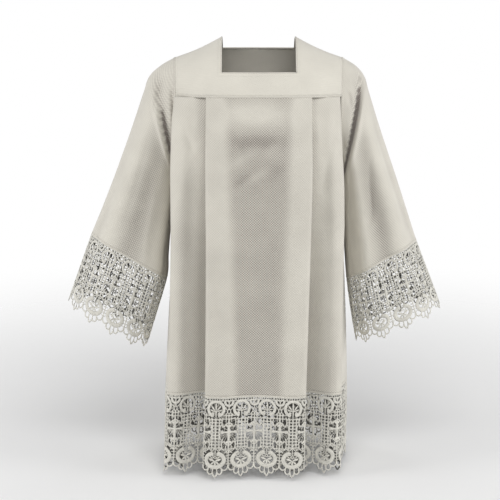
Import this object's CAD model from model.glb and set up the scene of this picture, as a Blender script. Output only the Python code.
"""Looks of a surplice with a square neck: a flat yoke, pleated panels, wide sleeves and deep scalloped lace.

The frame is the part's own: +Z is up, the wearer faces -Y and the wearer's left is +X. The tables and the
formulas of the body and the sleeves are those of the part's source, in millimetres here and turned into
metres as they are read, on finer grids and with the small creases of the cloth added.
"""
import math

import bpy
import numpy as np
from bpy.props import FloatProperty, FloatVectorProperty, PointerProperty
from mathutils import Matrix, Vector


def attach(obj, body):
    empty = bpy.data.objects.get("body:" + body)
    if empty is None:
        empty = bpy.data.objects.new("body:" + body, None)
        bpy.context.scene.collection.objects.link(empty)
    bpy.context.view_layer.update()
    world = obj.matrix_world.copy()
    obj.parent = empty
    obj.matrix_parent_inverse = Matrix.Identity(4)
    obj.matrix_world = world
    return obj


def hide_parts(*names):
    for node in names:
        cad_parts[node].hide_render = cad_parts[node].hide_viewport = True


bl_info = {
    "name": "Surplice with lace",
    "version": (1, 0, 0),
    "blender": (4, 5, 0),
    "location": "3D View > Sidebar > Surplice",
    "description": "Builds a pleated surplice with lace at its hem and cuffs, and a plain studio",
    "category": "Object",
}

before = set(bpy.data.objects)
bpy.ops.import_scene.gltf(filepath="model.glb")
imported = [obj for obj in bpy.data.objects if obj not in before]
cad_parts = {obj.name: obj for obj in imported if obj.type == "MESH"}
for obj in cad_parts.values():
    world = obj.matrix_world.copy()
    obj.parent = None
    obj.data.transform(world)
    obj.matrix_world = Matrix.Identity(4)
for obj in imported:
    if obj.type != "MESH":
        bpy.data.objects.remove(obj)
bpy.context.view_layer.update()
MM = 0.001


def table_of(columns, *rows):
    """A table in millimetres as {column name: array in metres}."""
    values = np.array(rows, float) * MM
    return {name: values[:, k] for k, name in enumerate(columns.split())}


# Yoke
YOKE_HALF_WIDTH = 0.164
YOKE_SEAM_Z = -0.113
NECK_HALF_WIDTH = 0.073
SHOULDER_SLOPE = 0.44
SHOULDER_SAG = 0.003
SHOULDER_Y = 0.005
SEAM_GAP = 0.0005
FALL_POWER = 2.8
ARMHOLE_GAP = 0.0018
CUFF_GAP = 0.0009
CHEST = {"side": -1, "neck_z": -0.068, "depth": 0.118, "fall": 0.0648}
BACK = {"side": 1, "neck_z": -0.022, "depth": 0.104, "fall": 0.0408}

# Armhole
ARMHOLE_TOP_Z = -SHOULDER_SLOPE * (YOKE_HALF_WIDTH - NECK_HALF_WIDTH)
UNDERARM_X = 0.157
UNDERARM_Z = -0.262
ARMHOLE_HALF_DEPTH = 0.061
YOKE_END_ANGLE = math.acos(1 - 2 * (ARMHOLE_TOP_Z - YOKE_SEAM_Z) / (ARMHOLE_TOP_Z - UNDERARM_Z))

# Pleated body: a row for each height; e1 and i1 are the box pleat's outer and inner fold, e2 and i2 those of
# the side pleat; x is a fold's place, o its distance behind the chest line, r its radius
PANEL_TOP_Z = -0.1139
LACE_TOP_Z = -0.688
HEM_Z = -0.850
LEVEL_COLUMNS = "z depth fall trough r e1_x i1_x i1_o under_o e2_x e2_o i2_x i2_o side_x"
FRONT_LEVELS = table_of(
    LEVEL_COLUMNS,
    (-113.9, 118, 64.8, 0, 1.5, 101, 62, 4.5, 6, 164, -8, 150, 1, 157),
    (-170, 131, 58, 3, 3.2, 101.5, 58, 11, 14, 169, -6, 150, 6, 156),
    (-262, 145, 44, 9, 5, 102, 54, 18, 24, 171, -3, 147, 17, 157),
    (-410, 156, 32, 13, 7, 100, 48, 26, 34, 169, 1, 142, 29, 172),
    (-688, 168, 26, 16, 9, 98, 41, 33, 42, 171, 4, 138, 39, 185),
    (-850, 172, 24, 17, 10, 100, 40, 35, 44, 175, 5, 137, 41, 187),
)
BACK_LEVELS = table_of(
    LEVEL_COLUMNS,
    (-113.9, 104, 40.8, 0, 1.5, 96, 60, 4.5, 6, 164, -8, 150, 1, 157),
    (-170, 115, 39, 2, 3.2, 97, 56, 11, 13, 168, -6, 150, 6, 156),
    (-262, 121, 36, 6, 5, 97, 52, 17, 22, 170, -3, 147, 16, 157),
    (-410, 128, 28, 9, 6.5, 97, 47, 24, 31, 174, 1, 146, 27, 172),
    (-688, 143, 26, 12, 8.5, 97, 42, 31, 39, 184, 4, 147, 37, 185),
    (-850, 148, 25, 13, 9.5, 97, 40, 33, 41, 186, 5, 147, 39, 187),
)
TROUGH_HALF_WIDTH = 0.078
# The front's side pleat on the wearer's left is drawn in towards the middle, by height
DRAWN_IN = table_of(
    "z by", (-688, 1), (-560, 2), (-450, 2.5), (-360, 3), (-290, 5.5), (-230, 8.5), (-170, 9), (-113.9, 6.4)
)
DRAWN_IN_X = (0.100, 0.060)  # where the drawing in starts, and how far it takes to reach its full size
ARMHOLE_FADE = 0.15
# How far the skirt swings at the hem, towards the wearer's left
SWING = {"middle": -0.006, "front_sides": -0.013, "back_sides": 0.002}

# Sleeves: a row for each cross-section from the armhole to the lace's edge
SECTION_COLUMNS = "cap_x cap_z under_x under_z mid_y half_depth lift"
ARMHOLE_SECTION = (164, ARMHOLE_TOP_Z / MM, 157, -262, 5, 61, 0)
RIGHT_SECTIONS = table_of(
    SECTION_COLUMNS,
    ARMHOLE_SECTION,
    (195, -57, 162, -272, 5, 61, 0),
    (217, -78, 165, -284, 5, 62, 0),
    (228, -108, 168, -300, 4, 63, 0),
    (254, -183, 172, -335, 2, 65, 2),
    (287, -272, 178, -384, -2, 68, 5),
    (314, -340, 182, -432, -6, 70, 7),
    (335, -390, 185, -478, -8, 71, 8),
    (361, -460, 206, -548, -10, 72, 4),
    (386, -529, 228, -621, -12, 73, -2),
)
LEFT_SECTIONS = table_of(
    SECTION_COLUMNS,
    ARMHOLE_SECTION,
    (193, -57, 162, -272, 5, 61, 0),
    (210, -78, 165, -284, 5, 62, 0),
    (219, -108, 168, -300, 4, 63, 0),
    (243, -183, 170, -335, 2, 65, 2),
    (273, -270, 172.5, -384, -2, 68, 5),
    (297, -342, 175, -432, -6, 70, 7),
    (317, -402, 179, -480, -8, 71, 8),
    (343, -469, 188, -546, -10, 72, 4),
    (370, -537, 200, -612, -12, 73, -2),
)
# Folds of a sleeve: from section, to section, from angle, to angle, how far it bows halfway, width, depth.
# Angles, the bow and the width are in degrees. The depth is in millimetres, above 0 for a trough
RIGHT_FOLDS = [
    (2.8, 9.8, 58, 58, 0, 13, -5),
    (2.4, 9.8, 98, 88, 0, 17, 6),
    (2.4, 9.8, 146, 132, 0, 13, -6),
    (2.8, 9.8, 300, 302, 0, 13, -5),
    (2.4, 9.8, 262, 270, 0, 17, 6),
    (2.4, 9.8, 218, 230, 0, 13, -6),
]
LEFT_FOLDS = [
    (3, 9.8, 54, 62, 0, 13, -5),
    (3, 9.8, 84, 92, 0, 16, 7),
    (1.6, 9.8, 112, 124, 0, 13, -6),
    (3, 9.8, 304, 298, 0, 13, -5),
    (3, 9.8, 272, 266, 0, 16, 6),
    (2.4, 9.8, 240, 234, 0, 13, -6),
]
# Small creases of a sleeve, of the same form
RIGHT_CREASES = [
    (0.3, 2.2, 118, 134, 4, 6, 2.6),
    (0.4, 3.6, 134, 150, -3, 5, -2.2),
    (1.2, 4.6, 148, 160, 0, 6, 3.0),
    (3.4, 6.8, 70, 66, 5, 7, 1.6),
    (4.2, 7.2, 112, 116, 0, 6, -1.8),
    (0.6, 2.4, 40, 66, 0, 7, 1.8),
    (5.2, 9.8, 34, 36, 0, 7, 1.8),
    (5.6, 9.8, 156, 158, 0, 6, 2.2),
    (0.5, 2.6, 234, 218, 4, 6, 2.4),
    (1.4, 5.0, 206, 200, 0, 6, -2.0),
    (3.6, 7.0, 284, 288, 4, 7, 1.6),
    (5.0, 9.8, 330, 326, 0, 7, 1.6),
]
LEFT_CREASES = [
    (0.3, 2.4, 112, 128, 3, 6, 2.6),
    (0.3, 4.4, 126, 142, -4, 5, -2.4),
    (1.0, 7.4, 150, 154, 0, 10, -3.4),
    (4.0, 5.6, 74, 100, 0, 7, 2.4),
    (3.4, 6.6, 38, 34, 3, 7, 1.6),
    (0.6, 2.2, 44, 70, 0, 7, 1.8),
    (5.4, 9.8, 30, 28, 0, 7, 1.8),
    (5.6, 9.8, 148, 152, 0, 6, 2.2),
    (0.5, 2.6, 244, 226, 4, 6, 2.4),
    (1.6, 5.2, 212, 206, 0, 6, -2.0),
    (4.0, 7.0, 290, 284, 4, 7, 1.8),
    (5.2, 9.8, 326, 330, 0, 7, 1.6),
]
# Folds that run round a sleeve, beside the armhole: from one angle to another; the section at the start, the
# middle and the end, the width in sections and the depth in millimetres
RIGHT_ROUND_FOLDS = [
    (18, 168, 1.25, 1.5, 1.3, 0.4, 6.0),
    (72, 172, 1.4, 1.6, 1.6, 0.5, 4.5),
    (60, 92, 0.2, 0.22, 0.25, 0.18, 5.0),
    (52, 150, 2.2, 2.3, 2.1, 0.5, -3.5),
    (346, 214, 1.3, 1.5, 1.1, 0.45, 6.5),
    (306, 214, 2.3, 2.3, 2.1, 0.5, -3.0),
]
LEFT_ROUND_FOLDS = [
    (24, 178, 1.5, 1.85, 2.35, 0.47, 12.5),
    (52, 160, 2.5, 2.6, 2.9, 0.5, -4.0),
    (60, 76, 0.5, 0.7, 0.9, 0.25, 2.5),
    (330, 200, 1.5, 1.7, 1.9, 0.42, 7.0),
    (306, 206, 2.5, 2.6, 2.7, 0.5, -3.5),
]
SLEEVES = {
    "left": {
        "side": 1, "sections": LEFT_SECTIONS, "folds": LEFT_FOLDS + LEFT_CREASES, "round": LEFT_ROUND_FOLDS,
        "cap_repeat": 0.0,
    },
    "right": {
        "side": -1, "sections": RIGHT_SECTIONS, "folds": RIGHT_FOLDS + RIGHT_CREASES,
        "round": RIGHT_ROUND_FOLDS, "cap_repeat": 0.5,
    },
}
CUFF_LACE_SECTION = 7
CUFF_EDGE_SECTION = 9

# Creases of the panels: from (x0, z0) through (x1, z1) to (x2, z2), width and depth, in millimetres; depth is
# above 0 for a trough and below 0 for a ridge
CREASE_COLUMNS = "x0 z0 x1 z1 x2 z2 width depth"
FRONT_CREASES = table_of(
    CREASE_COLUMNS,
    (-62, -118, -66, -300, -58, -640, 17, -3.0),
    (66, -118, 64, -330, 62, -650, 15, -2.6),
    (-34, -128, -40, -330, -36, -690, 12, 2.4),
    (38, -150, 34, -380, 40, -700, 13, 2.0),
    (-2, -150, 6, -420, -4, -740, 20, -2.2),
    (-58, -180, -34, -214, 2, -262, 9, 2.0),
    (-46, -214, -16, -250, 24, -300, 10, 1.8),
    (-30, -170, -4, -196, 30, -226, 9, 1.6),
    (16, -232, 34, -270, 44, -330, 9, 1.5),
    (-128, -128, -134, -260, -128, -470, 11, 2.6),
    (-146, -160, -141, -200, -118, -226, 7, 2.2),
    (124, -126, 130, -250, 134, -430, 10, 2.4),
    (146, -170, 138, -230, 122, -300, 8, 1.8),
    (-118, -300, -124, -480, -118, -700, 10, -2.2),
    (122, -360, 128, -520, 124, -720, 10, -2.0),
)
BACK_CREASES = table_of(
    CREASE_COLUMNS,
    (-60, -118, -64, -320, -60, -650, 16, -2.8),
    (64, -118, 60, -300, 66, -640, 15, -2.4),
    (-30, -140, -36, -340, -32, -700, 12, 2.2),
    (36, -126, 40, -360, 34, -680, 13, 2.0),
    (4, -160, -4, -430, 6, -730, 19, -2.0),
    (48, -170, 20, -210, -12, -250, 9, 1.8),
    (34, -222, 8, -252, -26, -306, 9, 1.6),
    (-20, -200, -36, -240, -44, -300, 9, 1.4),
    (-126, -130, -130, -280, -134, -480, 10, 2.4),
    (128, -124, 132, -260, 126, -450, 10, 2.2),
    (-142, -170, -134, -220, -116, -280, 8, 1.8),
    (120, -340, 126, -500, 120, -710, 10, -2.0),
    (-118, -320, -124, -500, -122, -700, 10, -1.8),
)

# Lace: its pattern is drawn in millimetres on a strip, s along it and t down from the seam
LACE_DEPTH = 162.0
REPEAT = 50.0
FULLNESS = 1.12  # how much wider than drawn each tape is
HEM_REPEATS = 20
CUFF_REPEATS = 11
HEM_SHIFT = 0.09


class ClothSettings(bpy.types.PropertyGroup):
    """Sizes and colours of the cloth"""

    colour: FloatVectorProperty(
        name="Cloth colour", description="Colour of the yarn", subtype="COLOR", min=0, max=1,
        default=(0.73, 0.70, 0.62),
    )
    hollow_colour: FloatVectorProperty(
        name="Hollow colour", description="Colour in the hollows of the weave", subtype="COLOR", min=0, max=1,
        default=(0.20, 0.175, 0.155),
    )
    thickness: FloatProperty(
        name="Thickness", description="Thickness of the cloth", unit="LENGTH", default=0.0011, min=0.0003,
        max=0.003,
    )
    weave: FloatProperty(
        name="Weave size", description="Width of one diamond of the weave", unit="LENGTH", default=0.005,
        min=0.001, max=0.01,
    )


class LaceSettings(bpy.types.PropertyGroup):
    """Sizes and colours of the lace"""

    colour: FloatVectorProperty(
        name="Lace colour", description="Colour of the lace thread", subtype="COLOR", min=0, max=1,
        default=(0.77, 0.75, 0.68),
    )
    relief: FloatProperty(
        name="Relief", description="Height of the lace's tapes, as a share of the drawn one",
        subtype="FACTOR", default=1.0, min=0.3, max=2,
    )


class StudioSettings(bpy.types.PropertyGroup):
    """Floor, lights and camera"""

    floor_z: FloatProperty(
        name="Floor height", description="Height of the floor under the neck points", unit="LENGTH",
        default=-0.857,
    )
    daylight: FloatProperty(
        name="Surroundings", description="Brightness of the white surroundings", subtype="FACTOR",
        default=0.34, min=0, max=3,
    )
    sides: FloatProperty(
        name="Side lights", description="Strength of each side light", unit="POWER", default=23
    )
    above: FloatProperty(
        name="Top light", description="Strength of the light above and in front", unit="POWER", default=39
    )


class SurpliceSettings(bpy.types.PropertyGroup):
    """All settings of the surplice"""

    cloth: PointerProperty(type=ClothSettings)
    lace: PointerProperty(type=LaceSettings)
    studio: PointerProperty(type=StudioSettings)


def lerp(a, b, t):
    return a + (b - a) * t


def smooth(t):
    return t * t * (3 - 2 * t)


def bowed(start, middle, end, t):
    """A quadratic curve from start to end that is drawn towards middle."""
    return (1 - t) ** 2 * start + 2 * t * (1 - t) * middle + t**2 * end


def fading(t):
    """The root of a sine: nothing at both ends, 0 and 1, and 1 halfway."""
    return np.sqrt(np.sin(np.pi * t).clip(0))


def read_rows(column, place):
    """A smooth curve through the numbers of a table's column, read at places counted in rows: between two
    rows, the cubic whose slopes are half the difference of each row's neighbours."""
    last = len(column) - 1
    i = np.clip(np.floor(place).astype(int), 0, last - 1)
    t = place - i
    a, b, c, d = (column[np.clip(i + k, 0, last)] for k in (-1, 0, 1, 2))
    slope0 = np.where(i == 0, c - b, (c - a) / 2)
    slope1 = np.where(i == last - 1, c - b, (d - b) / 2)
    return (
        (2 * t**3 - 3 * t**2 + 1) * b
        + (t**3 - 2 * t**2 + t) * slope0
        + (3 * t**2 - 2 * t**3) * c
        + (t**3 - t**2) * slope1
    )


def level_at(levels, z):
    """The values of the body's table at heights z, as {column: array}."""
    rows = np.arange(len(levels["z"]), dtype=float)
    place = np.interp(-z, -levels["z"], rows)
    return {name: read_rows(column, place) for name, column in levels.items()}


def shoulder_z(x):
    """Height of the shoulder line: a straight slope from the neck point, with a sine's sag in between."""
    out = np.abs(x) - NECK_HALF_WIDTH
    along = np.clip(out / (YOKE_HALF_WIDTH - NECK_HALF_WIDTH), 0, 1)
    return -SHOULDER_SLOPE * out - SHOULDER_SAG * np.sin(np.pi * along)


def body_line(x, depth, fall):
    """The chest's line in plan: depth at the middle, falling back with the power FALL_POWER of x."""
    return depth - fall * (np.abs(x) / YOKE_HALF_WIDTH) ** FALL_POWER


def yoke_point(face, x, turn):
    """A point of the yoke: at each x a quarter of an ellipse from the shoulder line down to the yoke's seam.
    turn is the ellipse's angle, and x narrows as the armhole does."""
    top = shoulder_z(x)
    drop = (top - YOKE_SEAM_Z) / (1 - math.cos(YOKE_END_ANGLE))
    reach = (body_line(x, face["depth"], face["fall"]) - face["side"] * SHOULDER_Y) / math.sin(YOKE_END_ANGLE)
    share = (1 - np.cos(turn)) / 2
    return np.stack(
        [
            x * lerp(1, UNDERARM_X / YOKE_HALF_WIDTH, share),
            SHOULDER_Y + face["side"] * (reach * np.sin(turn) + SEAM_GAP / 2),
            top - drop * (1 - np.cos(turn)),
        ],
        -1,
    )


def yoke_turn_at(x, z):
    """The turn at which the yoke's arc at x reaches a height."""
    top = shoulder_z(x)
    drop = (top - YOKE_SEAM_Z) / (1 - math.cos(YOKE_END_ANGLE))
    return np.arccos(1 - np.maximum(0, top - z) / drop)


def armhole_point(angle, side):
    """The armhole's ellipse at an angle from its top, on the front (side -1) or the back (side 1)."""
    share = (1 - np.cos(angle)) / 2
    return np.stack(
        [
            lerp(YOKE_HALF_WIDTH, UNDERARM_X, share),
            SHOULDER_Y + side * ARMHOLE_HALF_DEPTH * np.sin(angle),
            lerp(ARMHOLE_TOP_Z, UNDERARM_Z, share),
        ],
        -1,
    )


def half_turn(x, o, r, way, t):
    angle = np.pi * (t - 0.5)
    return x + way * r * np.cos(angle), o + r * np.sin(angle)


def eased_run(x0, o0, x1, o1, t):
    return lerp(x0, x1, t), lerp(o0, o1, smooth(t))


def stretches(v, t):
    """The nine stretches of half a panel in plan, from its middle to the side pleat's inner fold, each as
    (x, distance behind the body line): runs that ease from one distance to another, and half circles."""
    r = v["r"]
    return [
        (lerp(0 * r, v["e1_x"] - r, t), 0 * r * t),
        half_turn(v["e1_x"] - r, r, r, 1, t),
        eased_run(v["e1_x"] - r, 2 * r, v["i1_x"] + r, v["i1_o"] - r, t),
        half_turn(v["i1_x"] + r, v["i1_o"], r, -1, t),
        eased_run(v["i1_x"] + r, v["i1_o"] + r, v["e1_x"], v["under_o"], t),
        eased_run(v["e1_x"], v["under_o"], v["e2_x"] - r, v["e2_o"], t),
        half_turn(v["e2_x"] - r, v["e2_o"] + r, r, 1, t),
        eased_run(v["e2_x"] - r, v["e2_o"] + 2 * r, v["i2_x"] + r, v["i2_o"] - r, t),
        half_turn(v["i2_x"] + r, v["i2_o"], r, -1, t),
    ]


FLANK = 9  # the tenth stretch, from the side pleat to the side seam
HALF = 10.0


def plan_point(face, levels, place, z):
    """A point of the pleated body in plan at a height: (x, y). place counts stretches from the middle (0) to
    the side seam (10). The flank is a quarter of an ellipse."""
    v = level_at(levels, z)
    place = np.broadcast_to(place, z.shape)
    index = np.clip(np.floor(place), 0, FLANK).astype(int)
    t = np.clip(place - index, 0, 1)
    options = stretches(v, t)
    x = np.select([index == k for k in range(FLANK)], [o[0] for o in options], 0.0)
    o = np.select([index == k for k in range(FLANK)], [o[1] for o in options], 0.0)
    trough = v["trough"] * np.cos(np.pi / 2 * np.minimum(1, x / TROUGH_HALF_WIDTH)) ** 2
    y = face["side"] * (body_line(x, v["depth"], v["fall"]) - o - np.where(index == 0, trough, 0))
    from_x = v["i2_x"] + v["r"]
    from_y = face["side"] * (body_line(from_x, v["depth"], v["fall"]) - v["i2_o"] - v["r"])
    seam_y = SHOULDER_Y + face["side"] * SEAM_GAP / 2
    angle = t * np.pi / 2
    flank = index == FLANK
    x = np.where(flank, lerp(from_x, v["side_x"], np.sin(angle)), x)
    y = np.where(flank, lerp(from_y, seam_y, 1 - np.cos(angle)), y)
    return x, y


def swung(way, x, y, z):
    """A point of half a panel in space, on the side that way names. The skirt swings sideways below the
    underarm with the power 1.5 of its drop, more at the front's sides than at the back's."""
    drop = np.clip((UNDERARM_Z - z) / (UNDERARM_Z - HEM_Z), 0, 1)
    sides = lerp(SWING["back_sides"], SWING["front_sides"], np.clip(0.5 - y / 0.2, 0, 1))
    swing = lerp(SWING["middle"], sides, np.clip(x / UNDERARM_X, 0, 1)) * drop**1.5
    return np.stack([way * x + swing, y, z], -1)


def crease_offset(creases, x, z):
    """How far the cloth stands in at (x, z): for each crease its depth times a bell of the distance from its
    curve, fading at both ends as the root of a sine."""
    offset = np.zeros(x.shape)
    t = np.linspace(0, 1, 15)
    for x0, z0, x1, z1, x2, z2, width, depth in zip(*creases.values()):
        cx, cz = bowed(x0, x1, x2, t), bowed(z0, z1, z2, t)
        if abs(z2 - z0) > abs(x2 - x0):
            away = (x - np.interp(-z, -cz, cx)) / width
            share = np.clip((z - z0) / (z2 - z0), 0, 1)
        else:
            order = np.argsort(cx)
            away = (z - np.interp(x, cx[order], cz[order])) / width
            share = np.clip((x - x0) / (x2 - x0), 0, 1)
        offset += depth * np.exp(-(away**2)) * fading(share)
    return offset


def creased(face, creases, place, way, x, y, z):
    """The depth y with the creases in it. They die out along the flank."""
    return y - face["side"] * crease_offset(creases, way * x, z) * np.clip(1.4 - place / HALF, 0, 1)


def drawn_in(way, place, x, z):
    """How far the wearer's left side pleat is drawn in: eased from the box pleat's fold outwards, and back to
    nothing along the flank."""
    by = np.interp(z, DRAWN_IN["z"], DRAWN_IN["by"]) * (way > 0)
    start, reach = DRAWN_IN_X
    return by * smooth(np.clip((x - start) / reach, 0, 1)) * np.clip(HALF - place, 0, 1)


def body_point(face, levels, creases, place, share, bottom_z):
    """A point of a panel: place is signed and counts stretches from the middle, and share is the way down
    from its top edge. The flank starts at the armhole and eases from it into the plan's line."""
    way, place = np.sign(place), np.abs(place)
    angle = lerp(YOKE_END_ANGLE, np.pi, np.clip(place - FLANK, 0, 1))
    edge = armhole_point(angle, face["side"])
    flank = place > FLANK
    top = np.where(flank, np.minimum(edge[..., 2], PANEL_TOP_Z), PANEL_TOP_Z)
    z = lerp(top, bottom_z, share)
    x, y = plan_point(face, levels, place, z)
    top_x, top_y = plan_point(face, levels, place, top)
    if face["side"] < 0:
        x = x - drawn_in(way, place, x, z)
    fade = np.clip(1 - (top - z) / ARMHOLE_FADE, 0, 1) ** 2
    seam_y = SHOULDER_Y + face["side"] * SEAM_GAP / 2
    edge_y = np.minimum(edge[..., 1], seam_y) if face["side"] < 0 else np.maximum(edge[..., 1], seam_y)
    x = x + np.where(flank, (edge[..., 0] - top_x) * fade, 0)
    y = y + np.where(flank, (edge_y - top_y) * fade, 0)
    return swung(way, x, creased(face, creases, place, way, x, y, z), z)


def hem_point(face, levels, creases, place, z):
    """A point of the hem lace's surface, which goes on from the panel's."""
    way, place = np.sign(place), np.abs(place)
    x, y = plan_point(face, levels, place, z)
    return swung(way, x, creased(face, creases, place, way, x, y, z), z)


def fold_offset(folds, section, angle):
    """How far a sleeve's wall stands in (below 0) or out: each fold is a bell across its own line, which
    fades at both ends as the root of a sine."""
    offset = np.zeros(np.broadcast(section, angle).shape)
    degrees = np.degrees(angle) % 360
    for start, end, from_angle, to_angle, bow, width, depth in folds:
        t = np.clip((section - start) / (end - start), 0, 1)
        centre = lerp(from_angle, to_angle, t) + bow * np.sin(np.pi * t)
        away = (degrees - centre) / width
        offset = offset - depth * MM * fading(np.minimum(t, 1 - t)) * np.exp(-(away**2))
    return offset


def round_offset(folds, section, angle):
    """The same for the folds that run round: a bell across a line whose section is a curve of the angle."""
    offset = np.zeros(np.broadcast(section, angle).shape)
    degrees = np.degrees(angle) % 360
    for from_angle, to_angle, start, middle, end, width, depth in folds:
        t = np.clip((degrees - from_angle) / (to_angle - from_angle), 0, 1)
        away = (section - bowed(start, middle, end, t)) / width
        offset = offset - depth * MM * fading(t) * np.exp(-(away**2))
    return offset


def sleeve_point(sleeve, section, angle):
    """A point of a sleeve: an ellipse whose long axis joins the outer outline to the inner one, moved along
    its normal by the folds. angle 0 is the cap and a quarter turn is the front."""
    section, angle = np.broadcast_arrays(section, angle)
    v = {name: read_rows(column, section) for name, column in sleeve["sections"].items()}
    chord_x, chord_z = v["under_x"] - v["cap_x"], v["under_z"] - v["cap_z"]
    chord = np.hypot(chord_x, chord_z)
    swell = fold_offset(sleeve["folds"], section, angle) + round_offset(sleeve["round"], section, angle)
    swell = swell * np.clip(section / 0.3, 0, 1)
    along = chord / 2 * (1 - np.cos(angle)) - swell * np.cos(angle)
    stand_off = ARMHOLE_GAP * np.clip(1 - section, 0, 1)
    return np.stack(
        [
            sleeve["side"] * (v["cap_x"] + chord_x * along / chord + stand_off),
            v["mid_y"] - (v["half_depth"] + swell) * np.sin(angle),
            v["cap_z"] + chord_z * along / chord + v["lift"] * np.sin(angle),
        ],
        -1,
    )


def sleeve_lace_section(sleeve, way):
    """The section where a sleeve's cloth ends (way -1) or its lace starts (way 1)."""
    v = sleeve["sections"]
    k = CUFF_LACE_SECTION
    step = math.hypot(v["cap_x"][k + 1] - v["cap_x"][k], v["cap_z"][k + 1] - v["cap_z"][k])
    return k + way * CUFF_GAP / 2 / step


def lengths_along(points):
    """The length from the first point to each point of a line, along the second last axis."""
    steps = np.linalg.norm(np.diff(points, axis=-2), axis=-1)
    start = np.zeros(steps.shape[:-1] + (1,))
    return np.concatenate([start, np.cumsum(steps, axis=-1)], -1)


def add_mesh(name, points, faces, uv, material):
    """A mesh object from points, faces as corner numbers, and a UV pair for each corner."""
    mesh = bpy.data.meshes.new(name)
    mesh.from_pydata(np.asarray(points, float).tolist(), [], np.asarray(faces).tolist())
    layer = mesh.uv_layers.new(name="cloth")
    layer.uv.foreach_set("vector", np.ascontiguousarray(uv, dtype=np.float32).ravel())
    mesh.polygons.foreach_set("use_smooth", np.ones(len(mesh.polygons), bool))
    mesh.materials.append(material)
    mesh.update()
    piece = bpy.data.objects.new(name, mesh)
    bpy.context.scene.collection.objects.link(piece)
    return piece


def add_sheet(name, grid, uv, material, closed=False, keep=None):
    """A sheet over a grid of points [column, row], whose columns run against the clock seen from above and
    whose rows run down, so that its faces point out. A closed grid has one more column in uv than points."""
    columns, rows = grid.shape[:2]
    i = np.arange(columns if closed else columns - 1)[:, None]
    j = np.arange(rows - 1)[None, :]
    a, b = i * rows + j, (i + 1) % columns * rows + j
    faces = np.stack([a, a + 1, b + 1, b], -1)
    corners = np.stack([uv[i, j], uv[i, j + 1], uv[i + 1, j + 1], uv[i + 1, j]], 2)
    keep = np.ones(faces.shape[:2], bool) if keep is None else keep
    faces, corners = faces[keep], corners[keep]
    used, faces = np.unique(faces, return_inverse=True)
    points = grid.reshape(-1, 3)[used]
    return add_mesh(name, points, faces.reshape(-1, 4), corners.reshape(-1, 2), material)


def set_cover(piece, values):
    """Stores how closely the cloth covers at each point: 0 for one layer, 1 where folds lie behind it."""
    attribute = piece.data.attributes.new("cover", "FLOAT", "POINT")
    attribute.data.foreach_set("value", np.ascontiguousarray(values, dtype=np.float32).ravel())
    return piece


def bell(value, width):
    return np.exp(-((value / width) ** 2))


# Soft patches where a panel's front is closer or thinner: x, z, width and height in millimetres, turn in
# degrees and amount
FRONT_PATCHES = [
    (-8, -144, 76, 28, 0, 1.15),
    (-34, -232, 30, 10, 32, 0.55),
    (-4, -262, 26, 9, 30, 0.4),
    (22, -214, 20, 8, 38, 0.25),
    (0, -620, 60, 150, 0, 0.06),
    (136, -360, 38, 280, 0, 0.75),
    (-138, -250, 34, 120, 0, 0.3),
    (0, -196, 62, 15, 0, -0.35),
    (-26, -266, 28, 8, 32, -0.3),
    (30, -252, 24, 16, 30, -0.25),
    (-142, -222, 30, 9, 38, 0.8),
    (-108, -160, 9, 50, 0, -0.4),
    (132, -150, 34, 40, 0, 0.5),
    (107, -190, 7, 90, 0, -0.5),
]
BACK_PATCHES = [
    (4, -148, 70, 24, 0, 0.9),
    (28, -228, 28, 10, -30, 0.5),
    (-12, -270, 24, 9, -34, 0.4),
    (0, -600, 60, 150, 0, 0.08),
    (-136, -330, 38, 240, 0, 0.4),
    (138, -260, 34, 120, 0, 0.3),
    (138, -230, 30, 9, -36, 0.7),
    (-130, -160, 34, 40, 0, 0.5),
]


def panel_cover(levels, patches, places, grid):
    """How closely a panel covers: the pleats' folds lie behind it from their inner folds outwards, and each
    patch adds a bell."""
    z = grid[..., 2]
    v = level_at(levels, np.clip(z, HEM_Z, PANEL_TOP_Z))
    x = np.abs(grid[..., 0])
    place = np.abs(places)[:, None] + 0 * x
    inner = smooth(np.clip((x - v["i1_x"] + 0.008) / 0.022, 0, 1))
    thin = lerp(0.008, 0.046, smooth(np.clip((-0.15 - z) / 0.2, 0, 1)))
    side = smooth(np.clip((x - v["e1_x"] - thin) / 0.022, 0, 1))
    cover = np.select([place < 1, place < 5, place < 6], [0.86 * inner, 0.86 + 0 * x, 0.45 + 0.5 * side], 0.9)
    for px, pz, wide, high, turn, amount in patches:
        dx, dz = grid[..., 0] / MM - px, z / MM - pz
        a = math.radians(turn)
        along, away = dx * math.cos(a) + dz * math.sin(a), dz * math.cos(a) - dx * math.sin(a)
        cover = cover + amount * bell(along, wide) * bell(away, high)
    return np.clip(cover, -0.4, 1)


def sleeve_cover(sleeve, section, angle):
    """How closely a sleeve covers: least on the flat of its front and back and in its troughs, most on its
    ridges, edges and ends."""
    degrees = np.degrees(angle) % 180
    streak = round_offset(sleeve["round"], section, angle)
    swell = fold_offset(sleeve["folds"], section, angle) + streak
    thin = bell(degrees - 108, 46) * (1 - bell(section, 1.6)) * (1 - 0.5 * bell(section - 7, 1.0))
    inner = smooth(np.clip((degrees - 128) / 20, 0, 1)) * smooth(np.clip((section - 2) / 1.5, 0, 1))
    inner = inner * (0.6 if sleeve["side"] < 0 else 0.0)
    deep = np.minimum(0, streak + 5 * MM) / (3.4 * MM)
    return np.clip(1.0 - 0.3 * thin - inner + swell / (9 * MM) + deep, -1.2, 1.1)


def thicken(piece):
    """Gives a sheet the cloth's thickness, half on each side."""
    wall = piece.modifiers.new("cloth wall", "SOLIDIFY")
    wall.thickness = bpy.context.scene.surplice.cloth.thickness
    wall.offset = 0
    wall.use_even_offset = False
    return piece


def dress(piece, slot, *nodes):
    """The piece rides on the part's one body, has the slot's finish and stands for the CAD nodes."""
    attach(piece, "root")
    if nodes:
        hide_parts(*nodes)
    return piece


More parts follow.
